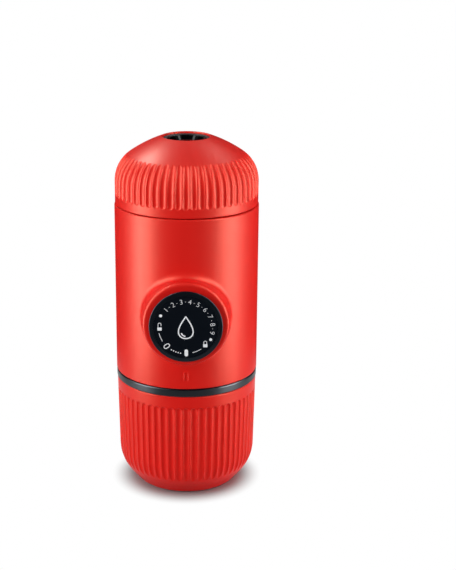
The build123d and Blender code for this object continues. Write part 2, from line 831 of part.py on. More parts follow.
with BuildPart() as return_spring:
    coil_back = sleeve_back + sleeve_floor + snug + spring_wire
    coil_length = carrier_back - snug - spring_wire - coil_back
    with BuildLine() as coil:
        Helix(
            pitch=coil_length / spring_turns,
            height=coil_length,
            radius=spring_radius,
            center=(0, -coil_back, pump_height),
            direction=(0, -1, 0),
        )
    with BuildSketch(Plane(origin=coil.line @ 0, z_dir=coil.line % 0)):
        Circle(spring_wire)
    sweep(path=coil.line, is_frenet=True)

with BuildPart() as plunger_rod:
    with BuildSketch(front.offset(rod_end)):
        Circle(rod_radius)
    extrude(amount=carrier_back - rod_end)
    with BuildSketch(front.offset(rod_end)):
        Circle(piston_radius)
    extrude(amount=piston_length)
    with BuildSketch(front.offset(carrier_back)):
        Circle(rod_spigot_radius)
    extrude(amount=carrier_thickness)
    with BuildSketch(front.offset(rod_end + cup_seal_back)):
        Circle(piston_radius)
        Circle(piston_radius - cup_seal_depth, mode=Mode.SUBTRACT)
    extrude(amount=cup_seal_width, mode=Mode.SUBTRACT)
    with BuildSketch(front.offset(carrier_front)):
        Circle(knob_screw_radius + snug)
    extrude(amount=-knob_screw_length, mode=Mode.SUBTRACT)

with BuildPart() as plunger_seal:
    with BuildSketch(front.offset(rod_end + cup_seal_back + snug)):
        Circle(piston_radius)
        Circle(piston_radius - cup_seal_depth + snug, mode=Mode.SUBTRACT)
    extrude(amount=cup_seal_width - 2 * snug)

with BuildPart() as knob_carrier:
    with BuildSketch(front.offset(carrier_back)):
        Circle(knob_radius - knob_wall - running)
        Circle(rod_spigot_radius + snug, mode=Mode.SUBTRACT)
    extrude(amount=carrier_thickness)

# ---- Knob ----
screw_seat = web_back + face_thickness / 2

with BuildPart() as knob_cap:
    with BuildSketch(front.offset(skirt_end)):
        Circle(knob_radius)
    extrude(amount=rim_back - skirt_end)
    # Rim: undercut towards the body, so that fingers can turn the knob, and bevelled in front
    with BuildSketch(Plane.XY.offset(pump_height)):
        with BuildLine():
            Polyline(
                (0, -rim_back),
                (knob_radius, -rim_back),
                (rim_radius, rim_bevel - knob_reach),
                (face_radius + face_inset, -knob_reach),
                (0, -knob_reach),
                close=True,
            )
        make_face()
    revolve(axis=Axis((0, 0, pump_height), (0, -1, 0)))
    rim_crest = knob_cap.edges().filter_by(GeomType.CIRCLE).sort_by(SortBy.RADIUS)[-1]
    fillet(rim_crest, radius=rim_round)
    with BuildSketch(front.offset(skirt_end)):
        Circle(knob_radius - knob_wall)
    extrude(amount=web_back - skirt_end, mode=Mode.SUBTRACT)
    with BuildSketch(front.offset(hub_end)):
        Circle(hub_radius)
    extrude(amount=hub_length)
    with BuildSketch(front.offset(knob_reach - face_thickness)):
        Circle(face_radius + snug)
    extrude(amount=face_thickness, mode=Mode.SUBTRACT)
    with BuildSketch(front.offset(screw_seat)):
        Circle(knob_screw_head + running)
    extrude(amount=knob_web, mode=Mode.SUBTRACT)
    with BuildSketch(front.offset(hub_end)):
        Circle(knob_screw_radius + running)
    extrude(amount=hub_length + knob_web, mode=Mode.SUBTRACT)
    with BuildSketch(front.offset(skirt_end)):
        with PolarLocations(0, lug_count):
            add(lug_shape)
    extrude(amount=lug_length)

with BuildPart() as knob_face:
    with BuildSketch(front.offset(knob_reach - face_thickness + snug)):
        Circle(face_radius)
    extrude(amount=face_thickness - snug)

with BuildPart() as knob_screw:
    with BuildSketch(front.offset(screw_seat + snug)):
        Circle(knob_screw_head)
    extrude(amount=knob_screw_head_height)
    with BuildSketch(front.offset(screw_seat + snug)):
        Circle(knob_screw_radius)
    extrude(amount=-knob_screw_length)
    with BuildSketch(front.offset(screw_seat + snug + knob_screw_head_height)):
        RegularPolygon(knob_screw_radius, 6)
    extrude(amount=-knob_screw_head_height / 2, mode=Mode.SUBTRACT)

# ---- Group head ----
with BuildPart() as group_head:
    with BuildSketch(Plane.XZ):
        with BuildLine():
            Polyline(
                (0, group_under),
                (group_disc, group_under),
                (group_disc, flange_top - flange_web),
                (chassis_radius - flange_rim, flange_top - flange_web),
                (chassis_radius - flange_rim, flange_top - flange_skirt),
                (chassis_radius, flange_top - flange_skirt),
                (chassis_radius, flange_top),
                (group_neck_radius, flange_top),
                (group_neck_radius, group_neck_top),
                (group_bore, group_neck_top),
                (group_bore, group_floor),
                (chamber_radius, group_floor),
                (chamber_radius, group_floor - chamber_depth),
                (shower_head_radius, group_floor - chamber_depth),
                (shower_head_radius, group_floor),
                (0, group_floor),
                close=True,
            )
        make_face()
    revolve(axis=Axis.Z)
    with BuildSketch(channel.offset(group_under)):
        Circle(spigot_radius)
    extrude(amount=-spigot_length)
    feed_level = group_under + (group_thickness - chamber_depth) / 2
    with BuildSketch(channel.offset(group_under - spigot_length)):
        Circle(spigot_bore)
    extrude(amount=feed_level - group_under + spigot_length, mode=Mode.SUBTRACT)
    with BuildSketch(front.offset(-channel_back - feed_radius)):
        with Locations((0, feed_level - pump_height)):
            Circle(feed_radius)
    extrude(amount=channel_back - feed_y + 2 * feed_radius, mode=Mode.SUBTRACT)
    with BuildSketch(Plane.XY.offset(feed_level)):
        with Locations((0, feed_y)):
            Circle(spigot_bore)
    extrude(amount=group_thickness, mode=Mode.SUBTRACT)
    with BuildSketch(Plane.XY.offset(group_under)):
        with GridLocations(2 * post_x, 2 * post_y, 2, 2):
            Circle(chassis_screw_radius + snug)
    extrude(amount=screw_depth + end_gap, mode=Mode.SUBTRACT)
    with BuildSketch(Plane.XY.offset(group_floor)):
        Circle(shower_screw_radius + snug)
    extrude(amount=end_gap - group_thickness, mode=Mode.SUBTRACT)
    with Locations((0, 0, head_ridge_low)):
        with PolarLocations(0, thread_starts):
            add(head_outer_ridge)

with BuildPart() as shower_screen:
    with BuildSketch(Plane.XY.offset(group_floor)):
        Circle(screen_radius)
        Circle(shower_screw_radius + snug, mode=Mode.SUBTRACT)
        for ring in range(1, screen_rings):
            with PolarLocations(ring * chamber_radius / screen_rings, holes_per_ring * ring):
                Circle(screen_hole, mode=Mode.SUBTRACT)
    extrude(amount=screen_thickness)

with BuildPart() as shower_screw:
    with BuildSketch(Plane.XY.offset(group_floor + screen_thickness)):
        Circle(shower_head_radius)
    extrude(amount=shower_head_height)
    with BuildSketch(Plane.XY.offset(group_floor + screen_thickness)):
        Circle(shower_screw_radius)
    extrude(amount=end_gap - group_thickness)
    with BuildSketch(Plane.XY.offset(group_floor + screen_thickness + shower_head_height)):
        RegularPolygon(shower_screw_radius, 6)
    extrude(amount=-shower_head_height / 2, mode=Mode.SUBTRACT)

with BuildPart() as group_seal:
    with BuildSketch(Plane.XY.offset(group_floor)):
        Circle(group_bore - seal_margin)
        Circle(group_seal_inner, mode=Mode.SUBTRACT)
    extrude(amount=group_seal_height)

# ---- Basket: open end down on the group's seal, holed end up towards the spout ----
with BuildPart() as filter_basket:
    with BuildSketch(Plane.XY.offset(basket_bottom)):
        Circle(basket_radius)
    extrude(amount=basket_height)
    fillet(filter_basket.edges().sort_by(Axis.Z)[-1], radius=2 * basket_wall)
    with BuildSketch(Plane.XY.offset(basket_bottom)):
        Circle(basket_radius + basket_rim)
    extrude(amount=basket_wall)
    with BuildSketch(Plane.XY.offset(basket_bottom)):
        Circle(basket_radius - basket_wall)
    extrude(amount=basket_height - basket_wall, mode=Mode.SUBTRACT)
    with BuildSketch(Plane.XY.offset(basket_top)):
        Circle(basket_hole)
        for ring in range(1, basket_rings):
            with PolarLocations(ring * basket_ring_pitch, holes_per_ring * ring):
                Circle(basket_hole)
    extrude(amount=-2 * basket_wall, mode=Mode.SUBTRACT)

with BuildPart() as basket_seal:
    with BuildSketch(Plane.XY.offset(basket_top)):
        Circle(basket_radius - 2 * basket_wall)
        Circle(basket_radius - 2 * basket_wall - basket_seal_width, mode=Mode.SUBTRACT)
    extrude(amount=basket_seal_height)

# ---- Head ----
with BuildPart() as head_shell:
    side, crown, mouth = head_points(0)
    inner_side, inner_crown, inner_mouth = head_points(head_wall)
    with BuildSketch(Plane.XZ) as head_outline:
        with BuildLine():
            Polyline(inner_side, (inner_side[0], head_bottom), (side[0], head_bottom), side)
            RadiusArc(side, crown, -head_shoulder)
            RadiusArc(crown, mouth, -dome_radius)
            Line(mouth, inner_mouth)
            RadiusArc(inner_mouth, inner_crown, dome_radius - head_wall)
            RadiusArc(inner_crown, inner_side, head_shoulder - head_wall)
        make_face()
        fillet(head_outline.vertices().sort_by(Axis.Y)[-1], radius=mouth_edge)
        fillet(head_outline.vertices().group_by(Axis.Y)[0].sort_by(Axis.X)[-1], radius=rim_edge)
    revolve(axis=Axis.Z)
    with PolarLocations(0, flute_count):
        add(head_flute.part, mode=Mode.SUBTRACT)

with BuildPart() as spout_body:
    collar_outer = head_radius - head_wall - snug
    plate_arc = head_shoulder - head_wall - plate_gap
    plate_edge = shoulder_x + sqrt(plate_arc**2 - (plate_top - shoulder_z) ** 2)
    tube_top = mouth_height - tube_drop
    tube_radius = mouth_radius - running
    tube_bore = tube_radius - tube_wall
    with BuildSketch(Plane.XZ):
        with BuildLine():
            Polyline(
                (spout_bore, plate_under + funnel_depth),
                (funnel_radius, plate_under),
                (head_thread_radius, plate_under),
                (head_thread_radius, head_bottom + seam),
                (collar_outer, head_bottom + seam),
                (collar_outer, shoulder_z),
                (plate_edge, plate_top),
                (tube_radius, plate_top),
                (tube_radius, tube_top),
                (tube_bore, tube_top),
                (tube_bore, plate_top),
                (spout_bore, plate_top),
                close=True,
            )
        make_face()
    revolve(axis=Axis.Z)
    with Locations((0, 0, head_ridge_low + ridge_lift)):
        with PolarLocations(0, thread_starts, start_angle=mesh_turn):
            add(head_inner_ridge)

with BuildPart() as spout_nozzle:
    nozzle_radius = tube_bore - snug
    nozzle_top = mouth_height - nozzle_drop
    dish_level = nozzle_top - dish_depth
    ring_floor = nozzle_radius - 2 * spout_ring_wire
    ring_middle = dish_level - dish_floor / 2
    with BuildSketch(Plane.XZ) as nozzle_outline:
        with BuildLine():
            Polyline(
                (spout_bore, plate_top + snug),
                (stem_radius, plate_top + snug),
                (stem_radius, dish_level - dish_floor),
                (nozzle_radius, dish_level - dish_floor),
                (nozzle_radius, ring_middle - spout_ring_wire - snug),
                (ring_floor, ring_middle - spout_ring_wire - snug),
                (ring_floor, ring_middle + spout_ring_wire + snug),
                (nozzle_radius, ring_middle + spout_ring_wire + snug),
                (nozzle_radius, nozzle_top),
                (nozzle_radius - nozzle_rim, nozzle_top),
                (stem_radius, dish_level),
                (tip_radius, nozzle_top - tip_drop),
                (spout_bore, nozzle_top - tip_drop),
                close=True,
            )
        make_face()
    revolve(axis=Axis.Z)

with BuildPart() as spout_ring:
    with Locations((0, 0, ring_middle)):
        Torus(nozzle_radius - spout_ring_wire, spout_ring_wire)

# ---- One file for each piece, named as the piece ----
pieces = {
    "drinking_cup": drinking_cup,
    "water_tank": water_tank,
    "cup_grip_ring": cup_grip_ring,
    "tank_seal": tank_seal,
    "main_shell": main_shell,
    "lower_bulkhead": lower_bulkhead,
    "chassis_screws": chassis_screws,
    "air_valve": air_valve,
    "inlet_strainer": inlet_strainer,
    "tube_grommet": tube_grommet,
    "suction_tube": suction_tube,
    "suction_fitting": suction_fitting,
    "inlet_valve": inlet_valve,
    "pump_barrel": pump_barrel,
    "valve_block": valve_block,
    "valve_block_seal": valve_block_seal,
    "valve_block_screws": valve_block_screws,
    "outlet_valve": outlet_valve,
    "delivery_fitting": delivery_fitting,
    "delivery_tube": delivery_tube,
    "guide_sleeve": guide_sleeve,
    "return_spring": return_spring,
    "plunger_rod": plunger_rod,
    "plunger_seal": plunger_seal,
    "knob_carrier": knob_carrier,
    "knob_screw": knob_screw,
    "knob_cap": knob_cap,
    "knob_face": knob_face,
    "group_head": group_head,
    "shower_screen": shower_screen,
    "shower_screw": shower_screw,
    "group_seal": group_seal,
    "filter_basket": filter_basket,
    "basket_seal": basket_seal,
    "head_shell": head_shell,
    "spout_body": spout_body,
    "spout_nozzle": spout_nozzle,
    "spout_ring": spout_ring,
}
for name, piece in pieces.items():
    piece.part.label = name
    export_step(piece.part, f"parts/{name}.step")
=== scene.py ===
import json
from math import cos, radians, sin, tau

import bmesh
import bpy
from mathutils import Matrix, Vector
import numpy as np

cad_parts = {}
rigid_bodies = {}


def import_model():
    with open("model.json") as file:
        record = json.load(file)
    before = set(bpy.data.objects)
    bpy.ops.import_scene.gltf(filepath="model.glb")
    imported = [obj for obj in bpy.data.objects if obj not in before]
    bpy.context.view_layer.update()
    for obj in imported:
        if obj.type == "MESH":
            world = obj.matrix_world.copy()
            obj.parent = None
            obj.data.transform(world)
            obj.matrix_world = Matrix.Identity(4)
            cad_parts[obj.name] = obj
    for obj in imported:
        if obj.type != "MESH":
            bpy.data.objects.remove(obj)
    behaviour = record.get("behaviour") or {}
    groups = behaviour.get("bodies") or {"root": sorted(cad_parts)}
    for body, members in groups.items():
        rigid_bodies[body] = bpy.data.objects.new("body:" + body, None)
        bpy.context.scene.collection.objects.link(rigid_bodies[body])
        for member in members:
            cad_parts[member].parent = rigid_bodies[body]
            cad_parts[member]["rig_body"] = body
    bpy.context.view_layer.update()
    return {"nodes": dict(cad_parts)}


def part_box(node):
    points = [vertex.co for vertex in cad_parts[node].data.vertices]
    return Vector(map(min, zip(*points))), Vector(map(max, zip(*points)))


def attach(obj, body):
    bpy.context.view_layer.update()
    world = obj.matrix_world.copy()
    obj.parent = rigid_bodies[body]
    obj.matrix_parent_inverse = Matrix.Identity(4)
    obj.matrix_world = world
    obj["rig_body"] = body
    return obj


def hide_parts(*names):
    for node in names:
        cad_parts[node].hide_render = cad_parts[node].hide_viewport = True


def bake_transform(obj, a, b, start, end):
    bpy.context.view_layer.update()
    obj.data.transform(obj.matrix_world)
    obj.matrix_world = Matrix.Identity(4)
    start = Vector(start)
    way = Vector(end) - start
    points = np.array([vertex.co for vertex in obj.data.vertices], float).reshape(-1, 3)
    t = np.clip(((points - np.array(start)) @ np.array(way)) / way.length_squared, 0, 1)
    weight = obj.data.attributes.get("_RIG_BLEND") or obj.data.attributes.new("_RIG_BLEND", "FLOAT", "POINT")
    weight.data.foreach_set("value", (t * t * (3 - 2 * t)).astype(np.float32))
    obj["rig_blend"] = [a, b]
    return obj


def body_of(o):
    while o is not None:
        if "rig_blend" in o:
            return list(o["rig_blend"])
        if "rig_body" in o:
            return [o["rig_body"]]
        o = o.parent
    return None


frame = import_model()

# Hand-pumped espresso maker. Metres, +Z up, the pump's knob towards -Y. The pieces' lengths are written in
# millimetres and turned to metres by MM. The floor, lamps and camera are written in metres.
MM = 0.001
nodes = frame["nodes"]


def span(node):
    """Lowest and highest corner of a solid, in millimetres."""
    low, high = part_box(node)
    return Vector(low) / MM, Vector(high) / MM


# ---- Sizes of the pieces, in millimetres ----
PUMP_HEIGHT = sum(corner.z for corner in span("knob_face")) / 2
KNOB_REACH = -span("knob_cap")[0].y
FACE_RECESS = 0.04  # from the knob's front back to the face disc
FACE_EDGE = 0.2  # bevel round the disc
PRINT_THICKNESS = 0.03

SPRING_RADIUS = 11.0  # to the middle of the wire
SPRING_WIRE = 0.6  # half the wire's thickness
SPRING_BACK = 10.65  # from the pump's middle to the first turn
SPRING_FRONT = 31.35  # from the pump's middle to the last turn
SPRING_TURNS = 8  # open turns
SPRING_CLOSED = 0.75  # closed turns at each end
SPRING_STEPS = 48  # rings of points in one turn
WIRE_SIDES = 12

TANK_SEAL_WIDTH = 1.3
GROUP_SEAL_WIDTH = 2.4
BASKET_SEAL_WIDTH = 2.0
SEAL_BEAD = 0.12  # height of the bead on each face
RING_POINTS = 24  # round the section of an O-ring
FLASH_SHARE = 0.05  # of the section's radius, how far the line of flash stands proud
CUP_SEAL_DEPTH = 1.25

HOSE_WALL = 0.85
HOSE_ROUND = 0.2
GROMMET_BORE = 2.55
GROMMET_FLANGE = 0.75
GROMMET_WALL = 0.7
GROMMET_ROUND = 0.25

AIR_STEM = 1.4
AIR_HEAD = 2.4
AIR_DROP = 1.2  # height of the domed rim, and of the head
AIR_RIM = 0.3  # width of the rim's edge, and depth of the hollow inside it
AIR_ROOT = 0.4  # from the stem out to the hollow's deepest place
AIR_SIDE = 0.5  # upright side of the head
AIR_CROWN = 0.1  # from the head's slope up to its flat end
AIR_TIP = 0.5  # radius of that flat end

VALVE_FLANGE = 1.25
BILL_RADIUS = 1.65
BILL_WALL = 0.4

# Sides of a turned form: small ones, usual ones and wide rings
SMALL_SIDES = 64
USUAL_SIDES = 96
WIDE_SIDES = 128
MERGE_DISTANCE = 1e-5  # joins the points of a turned form that lie on its axis
SHARP_EDGE = radians(35)  # a sharper edge than this isn't shaded smooth


# ---- Colours and shader nodes ----
CLOUD_WIDTH = 28.0  # of the faint clouds in a moulding's colour
NOISE_RANGE = (0.25, 0.75)  # which a noise texture seldom leaves
MOULD_SPREAD = (-0.03, 0.04)  # of roughness, from grain to grain
STEEL_SPREAD = (-0.08, 0.1)  # of roughness, from line to line
LINE_LENGTH = 12.0  # of the lines in turned steel
LINE_DEPTH = 0.002
STREAK_COLOUR = "#E2E1DD"  # brightest lines in turned steel


def colour(hex_value):
    """sRGB hex to linear red, green, blue and full alpha."""
    parts = [int(hex_value[i : i + 2], 16) / 255 for i in (1, 3, 5)]
    linear = [p / 12.92 if p <= 0.04045 else ((p + 0.055) / 1.055) ** 2.4 for p in parts]
    return (*linear, 1.0)


def per_metre(width):
    """Scale of a pattern whose marks are width millimetres wide."""
    return 1 / (width * MM)


def add(tree, kind, inputs=None, **settings):
    """Adds a node: settings are its own properties, inputs are values or sockets for its inputs."""
    node = tree.nodes.new(kind)
    for name, value in settings.items():
        setattr(node, name, value)
    for name, value in (inputs or {}).items():
        if isinstance(value, bpy.types.NodeSocket):
            tree.links.new(value, node.inputs[name])
        else:
            node.inputs[name].default_value = value
    return node


def new_material(name):
    material = bpy.data.materials.new(name)
    material.use_nodes = True
    material.node_tree.nodes.clear()
    return material, material.node_tree


def finish_material(tree, shader):
    add(tree, "ShaderNodeOutputMaterial", {"Surface": shader.outputs[0]})


def moulded(name, base, shade, roughness, grain, relief, shine=0.5, tint=(1, 1, 1, 1), **extra):
    """A moulded surface: faint clouds of shade in the base colour, and the grain that the mould leaves.
    Grain is the width of its marks and relief their depth, in millimetres."""
    material, tree = new_material(name)
    place = add(tree, "ShaderNodeTexCoord").outputs["Object"]
    clouds = add(
        tree,
        "ShaderNodeTexNoise",
        {"Vector": place, "Scale": per_metre(CLOUD_WIDTH), "Detail": 3.0, "Roughness": 0.55},
    )
    fine = add(
        tree,
        "ShaderNodeTexNoise",
        {"Vector": place, "Scale": per_metre(grain), "Detail": 2.0, "Roughness": 0.6},
    )
    paint = add(
        tree,
        "ShaderNodeMix",
        {"Factor": clouds.outputs["Fac"], "A": colour(base), "B": colour(shade)},
        data_type="RGBA",
    )
    gloss = add(
        tree,
        "ShaderNodeMapRange",
        {
            "Value": fine.outputs["Fac"],
            "From Min": NOISE_RANGE[0],
            "From Max": NOISE_RANGE[1],
            "To Min": roughness + MOULD_SPREAD[0],
            "To Max": roughness + MOULD_SPREAD[1],
        },
    )
    bump = add(
        tree,
        "ShaderNodeBump",
        {"Height": fine.outputs["Fac"], "Strength": 1.0, "Distance": relief * MM},
    )
    shader = add(
        tree,
        "ShaderNodeBsdfPrincipled",
        {
            "Base Color": paint.outputs["Result"],
            "Roughness": gloss.outputs["Result"],
            "Normal": bump.outputs["Normal"],
            "Specular IOR Level": shine,
            "Specular Tint": tint,
            **extra,
        },
    )
    finish_material(tree, shader)
    return material


def turned_steel(name, base, roughness, lines, axis):
    """Steel with fine lines round an axis (0, 1 or 2 for X, Y or Z), as a lathe or a drawing die leaves
    them. Lines is their spacing in millimetres."""
    material, tree = new_material(name)
    place = add(tree, "ShaderNodeTexCoord").outputs["Object"]
    stretch = [per_metre(lines if k == axis else LINE_LENGTH) for k in range(3)]
    along = add(tree, "ShaderNodeMapping", {"Vector": place, "Scale": stretch})
    streaks = add(
        tree,
        "ShaderNodeTexNoise",
        {"Vector": along.outputs["Vector"], "Scale": 1.0, "Detail": 4.0, "Roughness": 0.65},
    )
    gloss = add(
        tree,
        "ShaderNodeMapRange",
        {
            "Value": streaks.outputs["Fac"],
            "To Min": roughness + STEEL_SPREAD[0],
            "To Max": roughness + STEEL_SPREAD[1],
        },
    )
    tone = add(
        tree,
        "ShaderNodeMix",
        {"Factor": streaks.outputs["Fac"], "A": colour(base), "B": colour(STREAK_COLOUR)},
        data_type="RGBA",
    )
    bump = add(
        tree,
        "ShaderNodeBump",
        {"Height": streaks.outputs["Fac"], "Strength": 0.6, "Distance": LINE_DEPTH * MM},
    )
    shader = add(
        tree,
        "ShaderNodeBsdfPrincipled",
        {
            "Base Color": tone.outputs["Result"],
            "Metallic": 1.0,
            "Roughness": gloss.outputs["Result"],
            "Normal": bump.outputs["Normal"],
        },
    )
    finish_material(tree, shader)
    return material


def milky(weight, depth):
    """What makes silicone a little see-through: light spreads depth millimetres under its skin."""
    return {
        "Subsurface Weight": weight,
        "Subsurface Scale": depth * MM,
        "Subsurface Radius": (1.0, 0.9, 0.8),
    }


# ---- Materials ----
WARM_GLOSS = (1.0, 0.85, 0.55, 1.0)
COOL_GLOSS = (0.85, 0.92, 1.0, 1.0)
BLUE_GLOSS = (0.6, 0.8, 1.0, 1.0)

# Red ABS, injection-moulded in a spark-eroded tool: an even satin that spreads each lamp into a soft band.
# Its grain is about 0.1 mm, drawn at 0.35 mm so that it shows.
red_abs = moulded(
    "red_abs_spark_eroded", "#E01412", "#D8100E",
    roughness=0.4, grain=0.35, relief=0.006, shine=0.2, tint=WARM_GLOSS,
)
# Dark grey copolyester tank, moulded in a polished tool and handled since: a clearer line of light along
# its band than on the satin shells
grey_copolyester = moulded(
    "grey_copolyester_polished", "#080E14", "#060B10",
    roughness=0.3, grain=0.5, relief=0.002, shine=0.34, tint=COOL_GLOSS,
)
# Black glass-filled nylon of the inner mouldings: dull and slightly cloudy, with a coarse grain where short
# fibres lie just under the skin
black_nylon = moulded(
    "black_nylon_glass_filled", "#17181A", "#202124",
    roughness=0.52, grain=0.3, relief=0.01, shine=0.4,
)
# Black ABS knob, moulded with a fine satin texture: soft grey gloss on its rim. Its grain is about
# 0.1 mm, drawn at 0.3 mm so that it shows.
black_abs = moulded(
    "black_abs_fine_satin", "#080B10", "#0C1016",
    roughness=0.3, grain=0.3, relief=0.004, shine=0.18, tint=BLUE_GLOSS,
)
# Polycarbonate face disc, moulded matt: as dark as the knob round it, and without the rim's gloss. Its
# grain is about 0.1 mm, drawn at 0.25 mm so that it shows.
face_polycarbonate = moulded(
    "face_polycarbonate_matt", "#060A10", "#0B0F17",
    roughness=0.42, grain=0.25, relief=0.003, shine=0.06, tint=BLUE_GLOSS,
)
# White pad-printing ink: thin and matt, with the faint grain of the pad, 0.15 mm wide
white_ink = moulded(
    "white_ink_pad_printed", "#F4F6F8", "#E8ECF0",
    roughness=0.6, grain=0.15, relief=0.002, shine=0.3,
)
# Black ABS nozzle from a mirror-polished tool: deep black, with narrow sharp glints that faint waves
# 0.8 mm wide bend a little
polished_abs = moulded(
    "black_abs_mirror_polished", "#040506", "#060709",
    roughness=0.07, grain=0.8, relief=0.0005, shine=0.05,
)
# Clear silicone, moulded and post-cured: milky, a little see-through at its edges, with a soft bloom
clear_silicone = moulded(
    "clear_silicone_moulded", "#D9DCD8", "#CDD1CC",
    roughness=0.45, grain=0.4, relief=0.004, shine=0.4, **milky(0.35, 1.5),
)
# Platinum-cured silicone hose, extruded: milky and smoother than the moulded seals
hose_silicone = moulded(
    "hose_silicone_extruded", "#D6D8D2", "#C9CCC6",
    roughness=0.35, grain=0.6, relief=0.003, shine=0.45, **milky(0.4, 1.2),
)
# Black nitrile rubber rings, moulded: dull black with a greyish bloom
nitrile_rubber = moulded(
    "black_nitrile_rubber_moulded", "#101112", "#1A1B1C",
    roughness=0.62, grain=0.3, relief=0.006, shine=0.35,
)
# Stainless steel turned on a lathe: bright, with fine lines round the pump's axis, 0.15 mm apart
pump_steel = turned_steel("stainless_steel_turned_across", "#A9A9A4", 0.26, lines=0.15, axis=1)
# The same steel turned upright, for the hose fittings: its lines run level round them
fitting_steel = turned_steel("stainless_steel_turned_upright", "#A4A49F", 0.28, lines=0.15, axis=2)
# Stainless sheet, deep-drawn: the brightest of the steels, with faint level rings 0.4 mm apart
basket_steel = turned_steel("stainless_sheet_deep_drawn", "#B5B5B0", 0.24, lines=0.4, axis=2)
# Zinc-plated steel screws: duller and bluer than the stainless parts
screw_zinc = turned_steel("steel_screw_zinc_plated", "#8F9297", 0.36, lines=0.3, axis=2)
# Drawn spring wire: darker steel with streaks along the wire
spring_wire_steel = turned_steel("spring_steel_drawn_wire", "#85868A", 0.3, lines=0.5, axis=1)

finishes = {
    red_abs: ["drinking_cup", "main_shell", "head_shell"],
    grey_copolyester: ["water_tank"],
    black_nylon: [
        "lower_bulkhead",
        "inlet_strainer",
        "valve_block",
        "guide_sleeve",
        "knob_carrier",
        "group_head",
        "spout_body",
    ],
    black_abs: ["knob_cap"],
    face_polycarbonate: ["knob_face"],
    polished_abs: ["spout_nozzle"],
    clear_silicone: [
        "tank_seal",
        "air_valve",
        "tube_grommet",
        "inlet_valve",
        "outlet_valve",
        "group_seal",
        "basket_seal",
    ],
    hose_silicone: ["suction_tube", "delivery_tube"],
    nitrile_rubber: ["cup_grip_ring", "valve_block_seal", "plunger_seal", "spout_ring"],
    pump_steel: ["pump_barrel", "plunger_rod"],
    fitting_steel: ["suction_fitting", "delivery_fitting"],
    basket_steel: ["filter_basket", "shower_screen"],
    screw_zinc: ["chassis_screws", "valve_block_screws", "knob_screw", "shower_screw"],
    spring_wire_steel: ["return_spring"],
}
for finish, names in finishes.items():
    for name in names:
        slots = nodes[name].data.materials
        slots.clear()
        slots.append(finish)


# ---- Forms that several pieces share ----
UPRIGHT = Matrix.Identity(4)
ALONG_PUMP = Matrix.Translation((0, 0, PUMP_HEIGHT)) @ Matrix.Rotation(radians(90), 4, "X")


def rounded(corners, radius, steps=4):
    """A closed outline with each corner turned to a short curve."""
    outline = []
    for i, corner in enumerate(corners):
        here = Vector(corner)
        before, after = Vector(corners[i - 1]), Vector(corners[(i + 1) % len(corners)])
        reach = min(radius, (before - here).length / 2, (after - here).length / 2)
        a = here + (before - here).normalized() * reach
        b = here + (after - here).normalized() * reach
        for k in range(steps + 1):
            t = k / steps
            outline.append(tuple(a * (1 - t) ** 2 + here * 2 * t * (1 - t) + b * t**2))
    return outline


def join_rings(bm, rings):
    """Faces between each two rings that follow each other. The rings have the same number of points."""
    for first, second in zip(rings, rings[1:]):
        for k in range(len(first)):
            m = (k + 1) % len(first)
            bm.faces.new((first[k], first[m], second[m], second[k]))


def lathe(outline, axis, sides=USUAL_SIDES):
    """A closed outline of (radius, height) points, turned round the axis."""
    bm = bmesh.new()
    rings = []
    for k in range(sides):
        angle = tau * k / sides
        rings.append([bm.verts.new(axis @ Vector((r * cos(angle), r * sin(angle), h))) for r, h in outline])
    join_rings(bm, rings + rings[:1])
    bmesh.ops.remove_doubles(bm, verts=bm.verts, dist=MERGE_DISTANCE)
    return bm


def new_mesh(name, bm, material):
    """Turns a bmesh, as it is, into a mesh of one material."""
    mesh = bpy.data.meshes.new(name)
    bm.to_mesh(mesh)
    bm.free()
    mesh.materials.append(material)
    return mesh


def new_object(name, data):
    """Puts a mesh, text, lamp or camera into the scene."""
    placed = bpy.data.objects.new(name, data)
    bpy.context.scene.collection.objects.link(placed)
    return placed


def new_piece(name, bm, material, body=None, stands_for=None):
    """Turns a bmesh in millimetres into a smooth-shaded piece. It rides on the body, or it takes the place
    of a solid and rides where that one does."""
    bmesh.ops.recalc_face_normals(bm, faces=bm.faces)
    bmesh.ops.scale(bm, vec=(MM, MM, MM), verts=bm.verts)
    mesh = new_mesh(name, bm, material)
    mesh.shade_smooth()
    mesh.set_sharp_from_angle(angle=SHARP_EDGE)
    piece = new_object(name, mesh)
    if stands_for:
        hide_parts(stands_for)
        body = body_of(nodes[stands_for])[0]
    if body:
        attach(piece, body)
    return piece


def silicone_piece(name, bm, node):
    """A piece of clear silicone that takes the place of a solid."""
    new_piece(name, bm, clear_silicone, stands_for=node)


# ---- Seals, valves and hoses ----
def beaded_seal(node, name, width):
    """Flat silicone ring with a low bead moulded round the middle of both faces."""
    low, high = span(node)
    outer, inner = high.x, high.x - width
    middle, bead = (outer + inner) / 2, width / 6
    floor, top = low.z + SEAL_BEAD, high.z - SEAL_BEAD
    outline = [
        (inner, floor),
        (middle - 2 * bead, floor),
        (middle - bead, low.z),
        (middle + bead, low.z),
        (middle + 2 * bead, floor),
        (outer, floor),
        (outer, top),
        (middle + 2 * bead, top),
        (middle + bead, high.z),
        (middle - bead, high.z),
        (middle - 2 * bead, top),
        (inner, top),
    ]
    silicone_piece(name, lathe(rounded(outline, SEAL_BEAD, 3), UPRIGHT, WIDE_SIDES), node)


def o_ring(node, name, axis):
    """Round rubber ring with the thin line of flash that its two-part mould leaves."""
    low, high = span(node)
    wire = (high.z - low.z) / 2 if axis is UPRIGHT else (high.y - low.y) / 2
    middle = (high.z + low.z) / 2 if axis is UPRIGHT else -(high.y + low.y) / 2
    outline = []
    for k in range(RING_POINTS):
        angle = tau * k / RING_POINTS
        on_flash = k % (RING_POINTS // 2) == 0
        radius = wire if on_flash else wire * (1 - FLASH_SHARE)
        outline.append((high.x - wire + radius * cos(angle), middle + radius * sin(angle)))
    new_piece(name, lathe(outline, axis, WIDE_SIDES), nitrile_rubber, stands_for=node)


